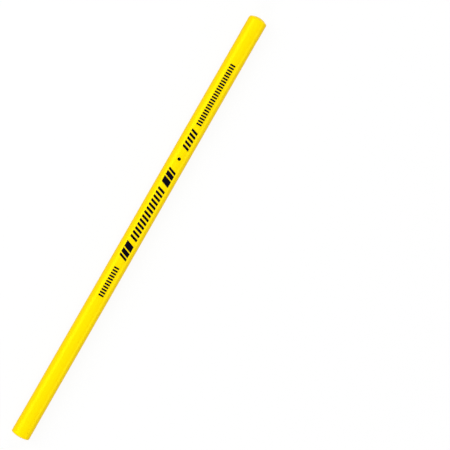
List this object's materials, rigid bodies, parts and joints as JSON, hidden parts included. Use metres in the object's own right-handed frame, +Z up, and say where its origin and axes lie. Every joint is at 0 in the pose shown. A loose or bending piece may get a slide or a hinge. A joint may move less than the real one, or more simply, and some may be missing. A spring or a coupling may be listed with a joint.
{
  "type": "marking pencil",
  "caption": "Round unsharpened marking pencil: glued wooden casing round a thick wax core, yellow lacquer, domed dipped ends and slanted black bars.",
  "frame": {"origin": "Under the middle of the pencil's whole length, on the surface it lies on", "axes": "+X along the pencil towards its rear end, the way the print runs; +Z up, the printed side; +Y across, the side the tops of the bars point to"},
  "size_m": [0.178, 0.0072, 0.0073],
  "materials": {
    "casing_wood": "bare light softwood, hidden inside the lacquer",
    "glue": "dried wood glue, satin",
    "wax_core": "waxy, soft sheen",
    "undercoat": "matte filler coat",
    "yellow_lacquer": "glossy bright yellow lacquer",
    "black_foil": "hot stamped black, satin"
  },
  "bodies": {
    "root": {"upper_slat": "casing_wood", "lower_slat": "casing_wood", "glue_film": "glue", "marking_core": "wax_core", "undercoat": "undercoat", "yellow_lacquer": "yellow_lacquer", "front_dip": "yellow_lacquer", "rear_dip": "yellow_lacquer", "front_thick_bar": "black_foil", "front_medium_bar": "black_foil", "front_thin_bar": "black_foil", "rear_thick_bar": "black_foil", "rear_medium_bar": "black_foil", "rear_thin_bar": "black_foil", "foil_dot": "black_foil"}
  },
  "joints": []
}
